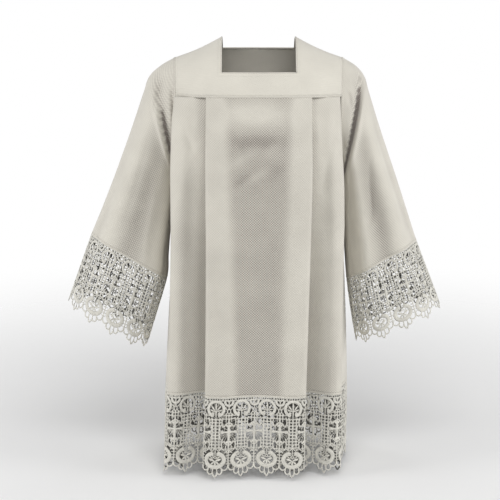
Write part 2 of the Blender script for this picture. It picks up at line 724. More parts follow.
def steps_between(*stops):
    """Places from stop to stop, with the given number of steps between each two: (stop, steps, stop, ...)."""
    out = [np.array([stops[0]], float)]
    for k in range(1, len(stops), 2):
        out.append(np.linspace(stops[k - 1], stops[k + 1], stops[k] + 1)[1:])
    return np.concatenate(out)


# Steps of the wall along each stretch of half a panel
PANEL_STEPS = (0, 26, 1, 8, 2, 10, 3, 8, 4, 13, 5, 20, 6, 8, 7, 7, 8, 8, 9, 20, 10)
PANEL_ROWS = 128


def panel_places():
    """Places across a whole panel, signed, close together at the folds."""
    half = steps_between(*PANEL_STEPS)
    return np.concatenate([-half[:0:-1], half])


def node(tree, kind, inputs=(), **settings):
    """A shader node with its settings and its inputs, each a number, a colour or another node's socket."""
    made = tree.nodes.new(kind)
    for name, value in settings.items():
        setattr(made, name, value)
    for name, value in dict(inputs).items():
        if isinstance(value, bpy.types.NodeSocket):
            tree.links.new(value, made.inputs[name])
        else:
            made.inputs[name].default_value = value
    return made


def maths(tree, operation, a, b=0.0, c=0.0):
    return node(tree, "ShaderNodeMath", {0: a, 1: b, 2: c}, operation=operation).outputs[0]


def noise(tree, place, scale, detail):
    return node(
        tree, "ShaderNodeTexNoise", {"Vector": place, "Scale": scale, "Detail": detail}
    ).outputs["Fac"]


def spread(tree, value, low, high, to_low, to_high, **settings):
    """The value moved from the range low to high into the range to_low to to_high."""
    inputs = {0: value, 1: low, 2: high, 3: to_low, 4: to_high}
    return node(tree, "ShaderNodeMapRange", inputs, **settings).outputs[0]


def bumped(tree, strength, distance, height, **inputs):
    inputs = {"Strength": strength, "Distance": distance, "Height": height, **inputs}
    return node(tree, "ShaderNodeBump", inputs).outputs[0]


def new_material(name, colour, roughness):
    """A material with its shader, whose constants are set on the shader itself."""
    material = bpy.data.materials.new(name)
    material.use_nodes = True
    material.diffuse_color = (*colour, 1)
    tree = material.node_tree
    shader = tree.nodes["Principled BSDF"]
    shader.inputs["Base Color"].default_value = (*colour, 1)
    shader.inputs["Roughness"].default_value = roughness
    return material, tree, shader


def mixed(tree, factor, a, b):
    """A colour between a and b; each is a socket or a colour of three numbers."""
    colours = [c if isinstance(c, bpy.types.NodeSocket) else (*c, 1) for c in (a, b)]
    made = node(tree, "ShaderNodeMix", data_type="RGBA")
    for name, value in (("Factor", factor), (6, colours[0]), (7, colours[1])):
        socket = made.inputs[name]
        if isinstance(value, bpy.types.NodeSocket):
            tree.links.new(value, socket)
        else:
            socket.default_value = value
    return made.outputs[2]


def cloth_material():
    """Honeycomb cloth: staggered hollows, the product of a wave across and a wave down over the piece's own
    UVs in metres, deeper where the cloth is single, with soft mottling of the yarn and slight creasing."""
    if "surplice cloth" in bpy.data.materials:
        return bpy.data.materials["surplice cloth"]
    cloth = bpy.context.scene.surplice.cloth
    material, tree, shader = new_material("surplice cloth", cloth.colour, 0.88)
    uv = node(tree, "ShaderNodeUVMap", uv_map="cloth").outputs[0]
    object_place = node(tree, "ShaderNodeTexCoord").outputs["Object"]
    drift = maths(tree, "MULTIPLY", noise(tree, object_place, 60.0, 2.0), 2.2)
    flat = node(tree, "ShaderNodeSeparateXYZ", {0: uv})
    across = maths(tree, "MULTIPLY_ADD", flat.outputs[0], 2 * math.pi / cloth.weave, drift)
    down = maths(tree, "MULTIPLY_ADD", flat.outputs[1], 2 * math.pi / (0.94 * cloth.weave), drift)
    dots = maths(tree, "MULTIPLY", maths(tree, "COSINE", across), maths(tree, "COSINE", down))
    hollow = maths(tree, "MULTIPLY_ADD", dots, 0.5, 0.5)
    cover = node(tree, "ShaderNodeAttribute", attribute_name="cover").outputs["Fac"]
    yarn = noise(tree, object_place, 900.0, 2.0)
    cloud = spread(tree, noise(tree, object_place, 16.0, 4.0), 0.3, 0.7, 0.0, 0.12)
    depth = spread(tree, cover, 0.0, 1.0, 0.96, 0.26, clamp=False)
    veil = spread(tree, cover, -1.2, 0.0, 0.5, 0.0)
    shade = maths(tree, "ADD", maths(tree, "ADD", maths(tree, "MULTIPLY", hollow, depth), veil), cloud)
    colour = mixed(tree, shade, cloth.colour, cloth.hollow_colour)
    tree.links.new(colour, shader.inputs["Base Color"])
    height = maths(tree, "SUBTRACT", maths(tree, "MULTIPLY", yarn, 0.35), hollow)
    weave = bumped(tree, 0.5, 0.0006, height)
    crumple = bumped(tree, 0.35, 0.002, noise(tree, object_place, 38.0, 3.0), Normal=weave)
    tree.links.new(crumple, shader.inputs["Normal"])
    shader.inputs["Sheen Weight"].default_value = 0.25
    shader.inputs["Sheen Roughness"].default_value = 0.6
    shader.inputs["Specular IOR Level"].default_value = 0.2
    return material


RIB_PITCH = 0.0013


def lace_material():
    """Lace thread: fine ribs across each tape from the strip's own UVs, uneven whiteness, and a duller inner
    side."""
    if "surplice lace" in bpy.data.materials:
        return bpy.data.materials["surplice lace"]
    lace = bpy.context.scene.surplice.lace
    material, tree, shader = new_material("surplice lace", lace.colour, 0.8)
    uv = node(tree, "ShaderNodeUVMap", uv_map="cloth").outputs[0]
    object_place = node(tree, "ShaderNodeTexCoord").outputs["Object"]
    flat = node(tree, "ShaderNodeSeparateXYZ", {0: uv})
    ribs = maths(tree, "SINE", maths(tree, "MULTIPLY", flat.outputs[0], 2 * math.pi / RIB_PITCH))
    cloud = spread(tree, noise(tree, object_place, 70.0, 3.0), 0.35, 0.75, 0.0, 0.6)
    rib_shade = maths(tree, "MULTIPLY", maths(tree, "ADD", ribs, 1.0), 0.14)
    dark = tuple(c * 0.72 for c in lace.colour)
    colour = mixed(tree, maths(tree, "ADD", cloud, rib_shade), lace.colour, dark)
    inner = node(tree, "ShaderNodeAttribute", attribute_name="inner side").outputs["Fac"]
    colour = mixed(tree, inner, colour, tuple(c * 0.22 for c in lace.colour))
    tree.links.new(colour, shader.inputs["Base Color"])
    height = maths(tree, "ADD", maths(tree, "MULTIPLY", ribs, 0.4), noise(tree, object_place, 700.0, 2.0))
    tree.links.new(bumped(tree, 0.6, 0.0004, height), shader.inputs["Normal"])
    shader.inputs["Sheen Weight"].default_value = 0.2
    shader.inputs["Specular IOR Level"].default_value = 0.25
    return material


# Cells of the yoke over each shoulder and over the neck, and rows above and below the neck's edge
SHOULDER_STEPS, NECK_STEPS = 26, 40
ROWS_ABOVE, ROWS_BELOW = 14, 22


def yoke_grid(face):
    """The yoke's points [column, row], its UVs and the cells that are cloth: the neck's square is left out.
    Each column is the ellipse's arc, with rows gathered at the neck's height."""
    xs = steps_between(
        -YOKE_HALF_WIDTH, SHOULDER_STEPS, -NECK_HALF_WIDTH, NECK_STEPS, NECK_HALF_WIDTH, SHOULDER_STEPS,
        YOKE_HALF_WIDTH,
    )
    at_neck = yoke_turn_at(np.minimum(np.abs(xs), NECK_HALF_WIDTH), face["neck_z"])
    share = np.linspace(0, 1, ROWS_ABOVE + 1)[:-1]
    rest = np.linspace(0, 1, ROWS_BELOW + 1)
    turns = np.concatenate(
        [at_neck[:, None] * share, lerp(at_neck[:, None], YOKE_END_ANGLE, rest)], 1
    )
    grid = yoke_point(face, xs[:, None], turns)
    if face["side"] > 0:
        grid = grid[::-1]
    uv = np.stack([np.broadcast_to(xs[:, None], turns.shape), -lengths_along(grid)], -1)
    cells = np.arange(len(xs) - 1)
    inside = (cells >= SHOULDER_STEPS) & (cells < SHOULDER_STEPS + NECK_STEPS)
    rows = np.arange(ROWS_ABOVE + ROWS_BELOW) < ROWS_ABOVE
    return grid, uv, ~(inside[:, None] & rows[None, :])


def make_panel(name, face, levels, creases):
    """One width of pleated cloth, from the yoke's seam to the lace."""
    places = panel_places()
    if face["side"] > 0:
        places = places[::-1]
    share = np.linspace(0, 1, PANEL_ROWS + 1)[None, :]
    grid = body_point(face, levels, creases, places[:, None] + 0 * share, share, LACE_TOP_Z + SEAM_GAP)
    across = lengths_along(grid.transpose(1, 0, 2)).T
    across = across - across[len(places) // 2]
    uv = np.stack([across, grid[..., 2]], -1)
    piece = add_sheet(name, grid, uv, cloth_material())
    patches = FRONT_PATCHES if face["side"] < 0 else BACK_PATCHES
    return set_cover(piece, panel_cover(levels, patches, places, grid))


SLEEVE_COLUMNS, SLEEVE_ROWS = 150, 104


def make_sleeve(name, sleeve):
    """A sleeve's tube of cloth from the armhole to the cuff's lace."""
    end = sleeve_lace_section(sleeve, -1)
    sections = np.linspace(0, 1, SLEEVE_ROWS + 1) ** 1.15 * end
    turns = -sleeve["side"] * np.linspace(0, 2 * np.pi, SLEEVE_COLUMNS + 1)
    grid = sleeve_point(sleeve, sections[None, :], turns[:, None] % (2 * np.pi))
    v = sleeve["sections"]
    axis = np.array([sleeve["side"] * (v["cap_x"][9] - v["cap_x"][2]), 0, v["cap_z"][9] - v["cap_z"][2]])
    axis /= np.linalg.norm(axis)
    down = grid @ axis
    around = lengths_along((grid - down[..., None] * axis).transpose(1, 0, 2)).T
    uv = np.stack([around, -down], -1)
    piece = add_sheet(name, grid[:-1], uv, cloth_material(), closed=True)
    return set_cover(piece, sleeve_cover(sleeve, sections[None, :], turns[:-1, None] % (2 * np.pi)))


class SURPLICE_OT_yoke(bpy.types.Operator):
    """Builds the two halves of the yoke"""

    bl_idname = "surplice.yoke"
    bl_label = "Yoke"

    def execute(self, context):
        for name, face, size, area in (
            ("front", CHEST, (0.33, 0.17), 0.0362),
            ("back", BACK, (0.33, 0.16), 0.0407),
        ):
            grid, uv, keep = yoke_grid(face)
            piece = thicken(add_sheet(f"yoke_{name}_cloth", grid, uv, cloth_material(), keep=keep))
            set_cover(piece, np.full(len(piece.data.vertices), 1.3))
            dress(piece, "cloth", f"yoke_{name}")
        return {"FINISHED"}


class SURPLICE_OT_body(bpy.types.Operator):
    """Builds the pleated front and back panel"""

    bl_idname = "surplice.body"
    bl_label = "Body panels"

    def execute(self, context):
        for name, face, levels, creases, size, area in (
            ("front", CHEST, FRONT_LEVELS, FRONT_CREASES, (0.99, 0.574), 0.489),
            ("back", BACK, BACK_LEVELS, BACK_CREASES, (0.93, 0.574), 0.450),
        ):
            piece = thicken(make_panel(f"body_{name}_cloth", face, levels, creases))
            dress(piece, "cloth", f"body_{name}")
        return {"FINISHED"}


class SURPLICE_OT_sleeves(bpy.types.Operator):
    """Builds the two sleeves"""

    bl_idname = "surplice.sleeves"
    bl_label = "Sleeves"

    def execute(self, context):
        for name, size, area in (("left", (0.56, 0.40), 0.127), ("right", (0.56, 0.40), 0.135)):
            piece = thicken(make_sleeve(f"sleeve_{name}_cloth", SLEEVES[name]))
            dress(piece, "cloth", f"sleeve_{name}")
        return {"FINISHED"}


def arc(cx, cy, rx, ry, start, end, width, height=1.3):
    """A tape round an ellipse, from one angle to another in degrees; 0 is to the right and 90 is down."""
    count = max(4, int(abs(end - start) / 360 * 2 * math.pi * max(rx, ry) / 2.3))
    a = np.radians(np.linspace(start, end, count + 1))
    return tape(np.stack([cx + rx * np.cos(a), cy + ry * np.sin(a)], 1), width, height)


def tape(path, width, height=1.2):
    """A tape along a path of (s, t) points. width is one number or one for each point."""
    path = np.array(path, float)
    wide = FULLNESS * np.broadcast_to(np.array(width, float), (len(path),))
    return {"path": path, "width": wide, "height": height}


def curve(points, width, height=1.2, steps=7):
    """A tape along the smooth curve through the points, a cubic between each two."""
    points = np.array(points, float)
    place = np.linspace(0, len(points) - 1, max(3, steps))
    return tape(np.stack([read_rows(points[:, k], place) for k in (0, 1)], 1), width, height)


def ring(cx, cy, radius, width, height=1.3):
    """A tape round a whole circle."""
    return arc(cx, cy, radius, radius, 0, 360, width, height)


def petal(x0, y0, x1, y1, width, height=1.4):
    """A leaf from one point to another, widest past its middle: its width is a sine of the way along."""
    t = np.linspace(0, 1, 6)
    path = np.stack([lerp(x0, x1, t), lerp(y0, y1, t)], 1)
    return tape(path, width * (0.28 + 0.72 * np.sin(np.pi * t**1.3)), height)


def mirrored(items):
    """The tapes and their mirror images across the middle of the column."""
    return items + [{**item, "path": item["path"] * (-1, 1)} for item in items]


def medallion_column():
    """What lies round the middle of a repeat: the header, the upper medallion with its five-leaved fan, the
    square net, and the lower medallion with its flower and picots."""
    items = [
        arc(0, 23.4, 15.0, 14.8, 107, 433, 5.2, 1.8),
        petal(0, 28.5, 0, 11.5, 3.0),
        tape([(0, 27), (0, 40)], 2.2),
        ring(0, 28.0, 1.4, 2.6, 1.6),
        arc(0, 125.3, 17.0, 14.2, -74, 254, 7.4, 2.0),
        petal(0, 127, 0, 138, 3.6),
        arc(0, 119.2, 2.2, 2.8, 0, 360, 1.5),
        tape([(0, 105), (0, 116)], 1.8),
        tape([(0, 41), (0, 105)], 2.4),
        ring(0, 51, 1.6, 2.0, 1.5),
        ring(0, 97, 1.6, 2.0, 1.5),
    ]
    items += mirrored(
        [
            ring(-6.3, 32.6, 1.8, 3.8, 1.9),
            petal(-1, 28, -9.5, 16.0, 2.8),
            petal(-1, 28.6, -11.5, 24.6, 2.6),
            ring(-5.8, 113.2, 2.0, 4.2, 2.0),
            petal(-0.5, 127.0, -11.5, 123.0, 4.6),
            petal(-0.5, 127.0, -8.0, 134.5, 3.4),
            curve([(-2, 120), (-6, 121), (-9, 117.5)], 1.7),
            curve(
                [(-24.7, 135.5), (-23.6, 142), (-19.6, 145.6), (-14.8, 145.0), (-12.5, 142.5)], 2.5, 1.4, 10
            ),
            curve(
                [(-12.7, 142.5), (-13.4, 149.4), (-10.2, 153.4), (-6.2, 153.0), (-4.1, 149.5)], 2.5, 1.4, 10
            ),
            curve([(-4.3, 149.0), (-3.5, 154.4), (0, 160.2)], 2.5, 1.4, 5),
            tape([(-12.6, 144.4), (-11.0, 138.0)], 2.0),
            tape([(-4.2, 150.4), (-3.7, 141.0)], 2.0),
            curve([(-7, 41), (-6.6, 72), (-7, 105)], 2.2, steps=12),
            curve([(-13.5, 40), (-11.5, 50), (-13.8, 60)], 2.0),
            curve([(-13.8, 82), (-11.6, 92), (-13.5, 105)], 2.0),
            tape([(-12.5, 101), (-6, 108)], 1.9),
            tape([(0, 101), (-7, 108.5)], 1.8),
            tape([(-7, 41), (-13, 47)], 1.8),
        ]
    )
    for k, t in enumerate(np.arange(44.0, 104.0, 6.3)):
        reach = 12.5 if k < 2 or k > 7 else (10.5 if k in (2, 7) else 8.2)
        items.append(tape([(-reach, t), (-reach / 3, t), (reach / 3, t), (reach, t)], 2.0))
    return items + header()


def header():
    """The strip that is sewn to the cloth: a band, a row of small holes and a cord, over half a repeat."""
    reach = REPEAT / 4 + 0.4
    items = [
        tape([(s, 1.4) for s in np.linspace(-reach, reach, 6)], 3.2, 1.5),
        tape([(s, 7.2) for s in np.linspace(-reach, reach, 6)], 2.0, 1.3),
    ]
    return items + [tape([(s, 2.5), (s, 7.0)], 1.5) for s in np.linspace(-reach + 1.6, reach - 1.6, 6)]


# The fine rays between the arms of a cross, on one side of it
CROSS_RAYS = (
    ((-2, 66), (-13, 57.5)), ((-2, 73), (-8, 87)), ((-2, 72.4), (-12.5, 84)), ((-2, 71.6), (-14.6, 78)),
    ((-8, 68), (-9, 57.5)),
)


def cross_column():
    """What lies round the cross between two medallions: the header, a small ring with three holes, a diamond,
    the cross with its flared ends, its fine rays, and the ladder."""
    upright = np.linspace(41, 106, 14)
    upright_widths = np.interp(upright, (41, 54, 62, 84, 92, 106), (2.2, 3, 4.4, 4.4, 3, 2.2))
    bar = (-16, -14.5, -12.2, -10, -6, -2, 2, 6, 10, 12.2, 14.5, 16)
    bar_widths = (1.6, 4.4, 7.0, 4.0, 3.4, 4.0, 4.0, 3.4, 4.0, 7.0, 4.4, 1.6)
    items = [
        arc(0, 9.6, 7.7, 7.7, -14, 194, 4.2, 1.7),
        tape([(0, 9), (0, 16)], 2.3),
        ring(0, 9.0, 1.0, 2.0),
        arc(0, 28.2, 3.1, 4.4, 0, 360, 1.9, 1.5),
        tape([(0, 17), (0, 24)], 2.0),
        tape([(0, 32), (0, 42)], 2.2),
        tape([(0, t) for t in upright], upright_widths, 2.1),
        tape([(s, 69.6) for s in bar], bar_widths, 2.0),
        curve([(-8.6, 59.0), (-5.6, 53.6), (0, 51.0), (5.6, 53.6), (8.6, 59.0)], 2.3, 1.5, 13),
        curve([(-8.6, 87.2), (-5.6, 92.8), (0, 96.0), (5.6, 92.8), (8.6, 87.2)], 2.3, 1.5, 13),
        tape([(-13, 36.6), (-4, 36.6), (4, 36.6), (13, 36.6)], 1.8),
        tape([(-12.5, 43.2), (-4, 43.2), (4, 43.2), (12.5, 43.2)], 1.8),
        tape([(-12.5, 103.4), (-4, 103.4), (4, 103.4), (12.5, 103.4)], 1.8),
        tape([(0, t) for t in np.linspace(104, 136.5, 8)], 2.0),
        petal(0, 69.6, 0, 60, 5.4, 2.0),
    ]
    items += mirrored(
        [
            tape([(0, 10), (-6.0, 5.8)], 2.1),
            petal(-0.4, 60.2, -5.4, 54.4, 4.4, 1.9),
            petal(-0.4, 86.4, -5.4, 92.4, 4.8, 1.9),
            tape([(-3, 26), (-8.5, 19.5)], 1.7),
            tape([(-3, 30.5), (-8.8, 37)], 1.7),
            tape([(-5.4, 33), (-5.4, 50)], 1.9),
            tape([(-5.4, 96), (-5.4, 108)], 1.9),
            tape([(-8.6, 59), (-14, 54)], 1.8),
            tape([(-8.6, 87.4), (-14, 92)], 1.8),
            *(tape([start, end], 0.7, 0.6) for start, end in CROSS_RAYS),
            tape([(0, 104.5), (-7.5, 111.5)], 1.8),
            tape([(-7, 107.5), (-12, 103)], 1.8),
            curve([(-15.4, 70), (-17.2, 78), (-13.5, 86)], 1.6),
            curve([(-15.4, 69), (-17.2, 62), (-14, 54)], 1.6),
        ]
    )
    for t in np.arange(109.5, 137, 5.9):
        reach = 7.0 if t < 112 else 4.8
        items.append(tape([(-reach, t), (0, t + 0.5), (reach, t)], 1.6))
    return items + header()


# A tape's cross-section: six points as shares of its width and height
TAPE_SECTION = np.array([(-0.5, 0), (-0.3, 0.5), (0.3, 0.5), (0.5, 0), (0.3, -0.5), (-0.3, -0.5)])


def tube_faces(rings, sides):
    """The quads of a closed tube of rings, wall first. Each end, of six corners, is closed by two quads."""
    i, j = np.arange(rings - 1)[:, None], np.arange(sides)[None, :]
    a, b = i * sides + j, i * sides + (j + 1) % sides
    wall = np.stack([a, b, b + sides, a + sides], -1).reshape(-1, 4)
    end = np.array([[3, 2, 1, 0], [5, 4, 3, 0]])
    return np.concatenate([wall, end, end[:, ::-1] + (rings - 1) * sides])


def joined(meshes):
    """Several meshes, each (points, faces, UVs), as one."""
    points, faces, uvs = zip(*meshes)
    starts = np.cumsum([0] + [len(part) for part in points])
    faces = [part + start for part, start in zip(faces, starts)]
    return np.concatenate(points), np.concatenate(faces), np.concatenate(uvs)


def tape_mesh(items):
    """The tapes of a column as one flat mesh: points (s, t, height), faces, and UVs along and across. Each
    ring is the cross-section laid on the path's normal."""
    meshes = []
    for item in items:
        path = item["path"]
        step = np.gradient(path, axis=0)
        step /= np.linalg.norm(step, axis=1, keepdims=True)
        normal = np.stack([-step[:, 1], step[:, 0]], 1)
        across = TAPE_SECTION[:, 0] * item["width"][:, None]
        flat = path[:, None] + normal[:, None] * across[..., None]
        up = np.broadcast_to(TAPE_SECTION[:, 1] * item["height"], across.shape)
        points = np.concatenate([flat, up[..., None]], -1).reshape(-1, 3)
        spot = np.stack(np.broadcast_arrays(lengths_along(path)[:, None], across), -1).reshape(-1, 2)
        faces = tube_faces(len(path), len(TAPE_SECTION))
        meshes.append((points, faces, spot[faces]))
    return joined(meshes)


NORMAL_STEP = 0.004  # the step of the differences that give a surface's normal


def lay_lace(name, columns, surface, relief):
    """Lays columns of lace on a surface: columns is a list of (place in repeats, items), and surface gives
    the point at a place in repeats and a share of the depth. Height goes along the surface's normal."""
    drawn = {"medallion": tape_mesh(medallion_column()), "cross": tape_mesh(cross_column())}
    meshes = []
    for place, kind in columns:
        flat, quads, uv = drawn[kind]
        shifted = np.column_stack([place + flat[:, 0] / REPEAT, flat[:, 1:]])
        meshes.append((shifted, quads, uv * MM))
    flat, faces, uvs = joined(meshes)
    u, v = flat[:, 0], flat[:, 1] / LACE_DEPTH
    across = surface(u + NORMAL_STEP, v) - surface(u - NORMAL_STEP, v)
    down = surface(u, v + NORMAL_STEP) - surface(u, v - NORMAL_STEP)
    normal = np.cross(down, across)
    normal /= np.linalg.norm(normal, axis=1, keepdims=True)
    points = surface(u, v) + normal * (flat[:, 2:] * relief * MM)
    if relief > 0:
        faces, uvs = faces[:, ::-1], uvs[:, ::-1]
    piece = add_mesh(name, points, faces, uvs, lace_material())
    inner = piece.data.attributes.new("inner side", "FLOAT", "FACE")
    inner.data.foreach_set("value", (flat[faces, 2].max(1) <= 0).astype(np.float32))
    return piece


def ruler(points):
    """The share of a line's length at each of its points."""
    along = lengths_along(points)
    return along / along[-1]


def hem_surface():
    """The surface of the hem's lace, all round: places from 0 to HEM_REPEATS are the front, from the wearer's
    right to the left, and those after it the back. They are even in length along the wall, at half the
    lace's depth."""
    q = np.linspace(-HALF, HALF, 1601)
    middle = np.full(q.shape, (LACE_TOP_Z + HEM_Z) / 2)
    front = ruler(hem_point(CHEST, FRONT_LEVELS, FRONT_CREASES, q, middle))
    back = ruler(hem_point(BACK, BACK_LEVELS, BACK_CREASES, q[::-1], middle))

    def surface(u, v):
        u = (u + HEM_SHIFT) % (2 * HEM_REPEATS)
        z = lerp(LACE_TOP_Z, HEM_Z, v)
        on_front = u < HEM_REPEATS
        a = np.interp(u / HEM_REPEATS, front, q)
        b = np.interp(u / HEM_REPEATS - 1, back, q[::-1])
        p = hem_point(CHEST, FRONT_LEVELS, FRONT_CREASES, a, z)
        return np.where(on_front[:, None], p, hem_point(BACK, BACK_LEVELS, BACK_CREASES, b, z))

    return surface


def cuff_surface(sleeve):
    """The surface of a cuff's lace: places run in repeats from the cap over the front to the underarm and
    back behind, each half even in length, and the depth runs between the sleeve's last sections."""
    top = sleeve_lace_section(sleeve, 1)
    middle = (top + CUFF_EDGE_SECTION) / 2
    half = CUFF_REPEATS / 2
    turns = np.linspace(0, np.pi, 401)
    front = ruler(sleeve_point(sleeve, middle, turns))
    back = ruler(sleeve_point(sleeve, middle, turns + np.pi))
    places = np.concatenate([front * half, half + back[1:] * half])
    angles = np.concatenate([turns, turns[1:] + np.pi])

    def surface(u, v):
        u = (u - sleeve["cap_repeat"]) % CUFF_REPEATS
        return sleeve_point(sleeve, lerp(top, CUFF_EDGE_SECTION, v), np.interp(u, places, angles))

    return surface


def lace_columns(start, end):
    """The columns whose middle lies from start to before end, counted in repeats."""
    halves = np.arange(math.ceil(start * 2), math.ceil(end * 2))
    return [(k / 2, "cross" if k % 2 == 0 else "medallion") for k in halves]


class SURPLICE_OT_hem_lace(bpy.types.Operator):
    """Builds the deep lace at the hem, front and back"""

    bl_idname = "surplice.hem_lace"
    bl_label = "Hem lace"

    def execute(self, context):
        relief = context.scene.surplice.lace.relief
        surface = hem_surface()
        for name, start, width in (("front", 0, 1.016), ("back", HEM_REPEATS, 0.949)):
            columns = lace_columns(start, start + HEM_REPEATS)
            piece = lay_lace(f"hem_lace_{name}_work", columns, surface, relief)
            dress(piece, "lace", f"hem_lace_{name}")
        return {"FINISHED"}


class SURPLICE_OT_cuff_lace(bpy.types.Operator):
    """Builds the lace at the cuffs"""

    bl_idname = "surplice.cuff_lace"
    bl_label = "Cuff lace"

    def execute(self, context):
        relief = context.scene.surplice.lace.relief
        for name, sleeve in SLEEVES.items():
            # On the wearer's left, places run with the clock, so the strip is laid from the other side
            surface = cuff_surface(sleeve)
            way = -sleeve["side"]
            first = sleeve["cap_repeat"]
            for part, start in (("front", first), ("back", first + CUFF_REPEATS / 2)):
                columns = lace_columns(start, start + CUFF_REPEATS / 2)
                piece = lay_lace(f"cuff_lace_{name}_{part}_work", columns, surface, way * relief)
                dress(piece, "lace", f"cuff_lace_{name}_{part}")
        return {"FINISHED"}


# Half the width and half the height of each seam's cord
CORDS = {
    "neck": (0.0017, 0.0014),
    "yoke": (0.0024, 0.0011),
    "shoulder": (0.0026, 0.0009),
    "armhole": (0.0032, 0.00105),
    "side": (0.0024, 0.0009),
    "lace": (0.0022, 0.0012),
}


def cord_mesh(path, across, wide, high, sides=6):
    """A flat cord along a path: at each point an ellipse in the plane across the path, whose long axis is
    the across direction there."""
    step = np.gradient(path, axis=0)
    step /= np.linalg.norm(step, axis=1, keepdims=True)
    up = np.cross(step, across)
    up /= np.linalg.norm(up, axis=1, keepdims=True)
    first = np.cross(up, step)
    a = 2 * np.pi * np.arange(sides) / sides
    ring = first[:, None] * (wide * np.cos(a)[:, None]) + up[:, None] * (high * np.sin(a)[:, None])
    points = (path[:, None] + ring).reshape(-1, 3)
    spot = np.stack(np.broadcast_arrays(lengths_along(path)[:, None], a[None, :] * wide), -1).reshape(-1, 2)
    faces = tube_faces(len(path), sides)
    return points, faces, spot[faces]


def join_cords(name, cords, material):
    """Several cords, each (path, direction across, its cord's name), as one piece."""
    points, faces, uvs = joined(
        [
            cord_mesh(path, np.broadcast_to(np.array(across, float), path.shape), *CORDS[cord])
            for path, across, cord in cords
        ]
    )
    return set_cover(add_mesh(name, points, faces, uvs, material), np.ones(len(points)))


def neck_line(face, away=0.0, start=0.0, steps=16, across=40):
    """The edge of the neck's square opening on one face, or a line a little away from it: down, across and
    up. start is the share of the way down at which it begins."""
    half, low = NECK_HALF_WIDTH + away, face["neck_z"] - away
    turns = float(yoke_turn_at(np.array(half), low)) * np.linspace(start, 1, steps)
    xs = np.linspace(-half, half, across)
    return np.concatenate(
        [
            yoke_point(face, np.full(steps, -half), turns),
            yoke_point(face, xs, yoke_turn_at(xs, low))[1:-1],
            yoke_point(face, np.full(steps, half), turns[::-1]),
        ]
    )


STITCH_PITCH = 0.0034
STITCH_HALF_LENGTH = 0.0011
STITCH_RADIUS = 0.0004
# The eight faces of a stitch, over its two ends (0 and 1), its two sides (2 and 3), its top (4) and foot (5)
STITCH_FACES = np.array(
    [(0, 2, 4), (2, 1, 4), (1, 3, 4), (3, 0, 4), (2, 0, 5), (1, 2, 5), (3, 1, 5), (0, 3, 5)]
)
ROW_END = 0.006  # how far from the yoke's edges a row of stitches stops


def stitch_points(path, beside, way):
    """The stitches of a row: along the path, evenly, each a small lozenge whose length is two thirds of the
    pitch, on the outer face of the cloth. beside is the same path a little further over the cloth, and way
    says on which side of the two the outer face lies."""
    along = lengths_along(path)
    count = int(along[-1] / STITCH_PITCH)
    spots = (np.arange(count) + 0.5) * along[-1] / count
    centre, other = (
        np.stack([np.interp(spots, along, line[:, k]) for k in range(3)], 1) for line in (path, beside)
    )
    step = np.gradient(centre, axis=0)
    step /= np.linalg.norm(step, axis=1, keepdims=True)
    normal = way * np.cross(step, other - centre)
    normal /= np.linalg.norm(normal, axis=1, keepdims=True)
    across = np.cross(normal, step)
    centre = centre + normal * (bpy.context.scene.surplice.cloth.thickness / 2 + 0.0001)
    long, wide, high = step * STITCH_HALF_LENGTH, across * STITCH_RADIUS, normal * STITCH_RADIUS
    return np.stack([centre + reach for reach in (-long, long, -wide, wide, high, -high)], 1)


def join_stitches(name, rows):
    """All rows of stitches, each (path, path beside it, way), as one piece."""
    points = np.concatenate([stitch_points(*row) for row in rows])
    faces = (STITCH_FACES[None] + 6 * np.arange(len(points))[:, None, None]).reshape(-1, 3)
    flat = np.array([(0, 0), (1, 0), (0.5, -0.2), (0.5, 0.2), (0.5, 0), (0.5, 0)]) * STITCH_PITCH
    uv = np.broadcast_to(flat[STITCH_FACES], (len(points), 8, 3, 2)).reshape(-1, 2)
    return add_mesh(name, points.reshape(-1, 3), faces, uv, lace_material())


def yoke_row(face, above):
    """A line over a yoke, a little above its seam."""
    end = YOKE_HALF_WIDTH - ROW_END
    xs = np.linspace(-end, end, 80)
    return yoke_point(face, xs, yoke_turn_at(xs, YOKE_SEAM_Z + above))


def lace_row(face, levels, creases, above):
    """A line over a panel, a little above the lace's seam."""
    places = np.linspace(-HALF, HALF, 900)
    share = np.full(places.shape, 1 - above / (PANEL_TOP_Z - LACE_TOP_Z))
    return body_point(face, levels, creases, places, share, LACE_TOP_Z)


def shoulder_row(face, way, turn):
    """A line over one half of a yoke, beside the shoulder seam."""
    x = way * np.linspace(NECK_HALF_WIDTH + 0.008, YOKE_HALF_WIDTH - ROW_END, 30)
    return yoke_point(face, x, np.full(x.shape, turn))


def armhole_row(face, way, inside):
    """A line over a yoke beside one armhole."""
    turns = np.linspace(0.06, YOKE_END_ANGLE - 0.04, 40)
    return yoke_point(face, np.full(turns.shape, way * (YOKE_HALF_WIDTH - inside)), turns)


def flank_row(face, levels, creases, way, under):
    """A line over a panel's flank, a little under the armhole."""
    places = way * np.linspace(FLANK + 0.04, HALF, 40)
    share = np.full(places.shape, under / (PANEL_TOP_Z - LACE_TOP_Z))
    return body_point(face, levels, creases, places, share, LACE_TOP_Z)


